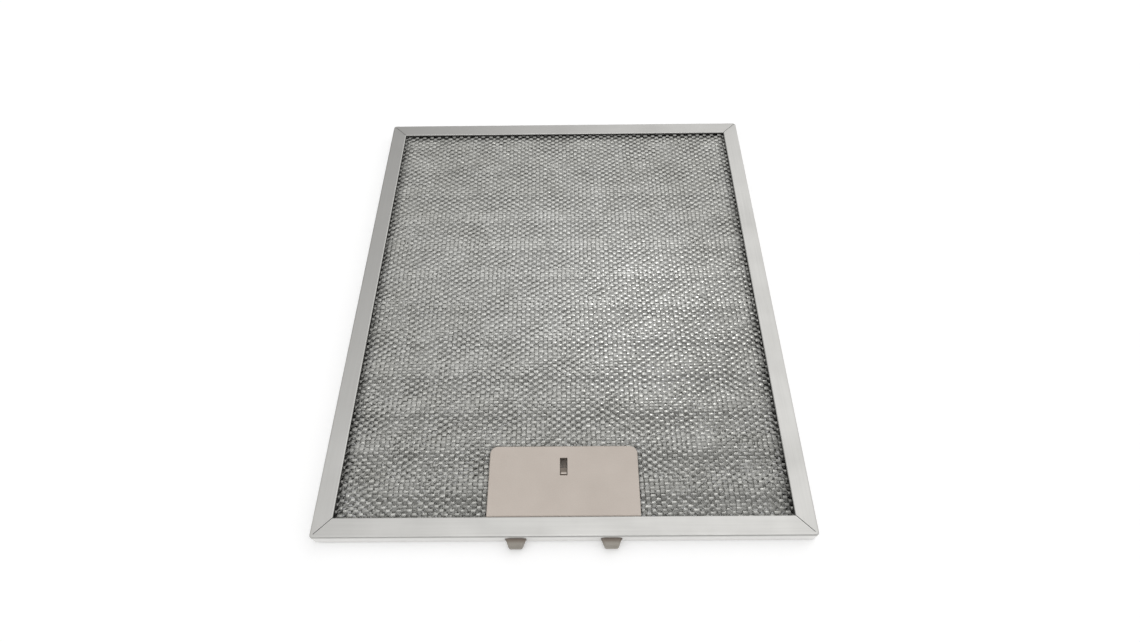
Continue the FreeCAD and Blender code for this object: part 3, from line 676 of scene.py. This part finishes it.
waviness = add_node(
    tree, "ShaderNodeTexNoise", {"Vector": place, "Scale": 1 / (WAVINESS * MM), "Detail": 1.0}
).outputs["Fac"]
waves = {"Height": waviness, "Strength": WAVINESS_STRENGTH, "Distance": WAVINESS_HEIGHT * MM}
wavy = add_node(tree, "ShaderNodeBump", waves).outputs["Normal"]
marks = {"Height": grain, "Strength": GRAIN_STRENGTH, "Distance": GRAIN_HEIGHT * MM, "Normal": wavy}
marked = add_node(tree, "ShaderNodeBump", marks).outputs["Normal"]
tree.links.new(marked, shader.inputs["Normal"])
shader.inputs["Metallic"].default_value = 1.0
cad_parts["frame"].data.materials.clear()
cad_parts["frame"].data.materials.append(strip_metal)

# Floor and light
# A plain white floor that keeps the shadow, in a pale room that is brighter overhead and behind on the
# right, and dimmer low in front and behind on the left. Two small distant lamps add glints to the mesh.
FLOOR_HALF = 6.0
FLOOR_DROP = 0.05 * MM
FLOOR_WHITE = "FBFBFB"
FLOOR_ROUGHNESS = 0.9
FLOOR_GLOW = 0.2
WHITE = (1.0, 1.0, 1.0, 1.0)
GLINTS = [
    {"name": "glint_right", "from": Vector((0.135, -0.19, 0.97)), "strength": 0.12, "angle": 8.0},
    {"name": "glint_left", "from": Vector((-0.22, -0.38, 0.9)), "strength": 0.085, "angle": 6.0},
]
ROOM_LEVEL = 0.864
ROOM_TONES = [
    {"heading": Vector((0.3, 0.6, 0.75)), "sharpness": 6.0, "strength": 0.32},
    {"heading": Vector((0.05, 0.3, 0.95)), "sharpness": 30.0, "strength": 0.16},
    {"heading": Vector((-0.02, -0.1, 1.0)), "sharpness": 14.0, "strength": 0.5},
    {"heading": Vector((0.0, -0.8, 0.6)), "sharpness": 5.0, "strength": -0.66},
    {"heading": Vector((-0.45, 0.75, 0.45)), "sharpness": 8.0, "strength": -0.88},
]

# Matte white paint, a little brighter to the eye and in the metal than the light makes it.
floor_white, tree, shader = new_finish("matte_white_floor")
shader.inputs["Base Color"].default_value = linear(FLOOR_WHITE)
shader.inputs["Roughness"].default_value = FLOOR_ROUGHNESS
shader.inputs["Specular IOR Level"].default_value = 0.0
rays = add_node(tree, "ShaderNodeLightPath").outputs
seen = add_node(
    tree, "ShaderNodeMath", {0: rays["Is Camera Ray"], 1: rays["Is Glossy Ray"]}, operation="MAXIMUM"
).outputs[0]
seen = add_node(
    tree, "ShaderNodeMath", {0: seen, 1: rays["Is Transmission Ray"]}, operation="MAXIMUM"
).outputs[0]
glow = add_node(tree, "ShaderNodeMath", {0: seen, 1: FLOOR_GLOW}, operation="MULTIPLY").outputs[0]
shader.inputs["Emission Color"].default_value = WHITE
tree.links.new(glow, shader.inputs["Emission Strength"])
floor_mesh = bpy.data.meshes.new("floor")
floor_corners = np.array([(-1, -1, 0), (1, -1, 0), (1, 1, 0), (-1, 1, 0)]) * FLOOR_HALF - (0, 0, FLOOR_DROP)
floor_mesh.from_pydata(floor_corners.tolist(), [], [(0, 1, 2, 3)])
floor_mesh.materials.append(floor_white)
floor = bpy.data.objects.new("floor", floor_mesh)
bpy.context.scene.collection.objects.link(floor)

for glint in GLINTS:
    light = bpy.data.lights.new(glint["name"], "SUN")
    light.energy = glint["strength"]
    light.angle = math.radians(glint["angle"])
    lamp = bpy.data.objects.new(glint["name"], light)
    lamp.rotation_mode = "QUATERNION"
    lamp.rotation_quaternion = glint["from"].to_track_quat("Z", "Y")
    bpy.context.scene.collection.objects.link(lamp)

# Each tone of the room is a lobe: the cosine to its heading, raised to its sharpness, times its strength.
world = bpy.data.worlds.new("pale_room")
world.use_nodes = True
bpy.context.scene.world = world
tree = world.node_tree
background = tree.nodes["Background"]
toward = add_node(tree, "ShaderNodeTexCoord").outputs["Generated"]
level = ROOM_LEVEL
for room_tone in ROOM_TONES:
    heading = room_tone["heading"].normalized()
    aligned = add_node(tree, "ShaderNodeVectorMath", {0: toward, 1: heading}, operation="DOT_PRODUCT")
    ahead = add_node(tree, "ShaderNodeMath", {0: aligned.outputs["Value"], 1: 0.0}, operation="MAXIMUM")
    power = {0: ahead.outputs[0], 1: room_tone["sharpness"]}
    lobe = add_node(tree, "ShaderNodeMath", power, operation="POWER").outputs[0]
    addition = {0: lobe, 1: room_tone["strength"], 2: level}
    level = add_node(tree, "ShaderNodeMath", addition, operation="MULTIPLY_ADD").outputs[0]
tree.links.new(level, background.inputs["Strength"])
background.inputs["Color"].default_value = WHITE
bpy.context.scene.view_settings.view_transform = "Standard"

# Camera
# It looks down over the latch edge. Its lens, place and turns were fitted to the corners of the frame
# and of its window in the photograph.
IMAGE_WIDTH = 1140
FOCAL_PIXELS = 654.338
SENSOR = 36.0
NEAR_LIMIT = 10.0
CAMERA_PLACE = Vector((6.148, -232.67, 337.785)) * MM
CAMERA_PITCH = 0.999602
CAMERA_YAW = -0.012167
CAMERA_ROLL = -0.017943

camera = bpy.data.cameras.new("camera")
camera.sensor_fit = "HORIZONTAL"
camera.sensor_width = SENSOR
camera.lens = FOCAL_PIXELS * SENSOR / IMAGE_WIDTH
camera.clip_start = NEAR_LIMIT * MM
level_ahead = Vector((math.sin(CAMERA_YAW), math.cos(CAMERA_YAW), 0.0))
forward = math.cos(CAMERA_PITCH) * level_ahead + Vector((0.0, 0.0, -math.sin(CAMERA_PITCH)))
level_right = Vector((math.cos(CAMERA_YAW), -math.sin(CAMERA_YAW), 0.0))
level_up = level_right.cross(forward)
right = math.cos(CAMERA_ROLL) * level_right + math.sin(CAMERA_ROLL) * level_up
up = math.cos(CAMERA_ROLL) * level_up - math.sin(CAMERA_ROLL) * level_right
turned = Matrix((right, up, -forward)).transposed().to_4x4()
camera_object = bpy.data.objects.new("camera", camera)
camera_object.matrix_world = Matrix.Translation(CAMERA_PLACE) @ turned
bpy.context.scene.collection.objects.link(camera_object)
bpy.context.scene.camera = camera_object
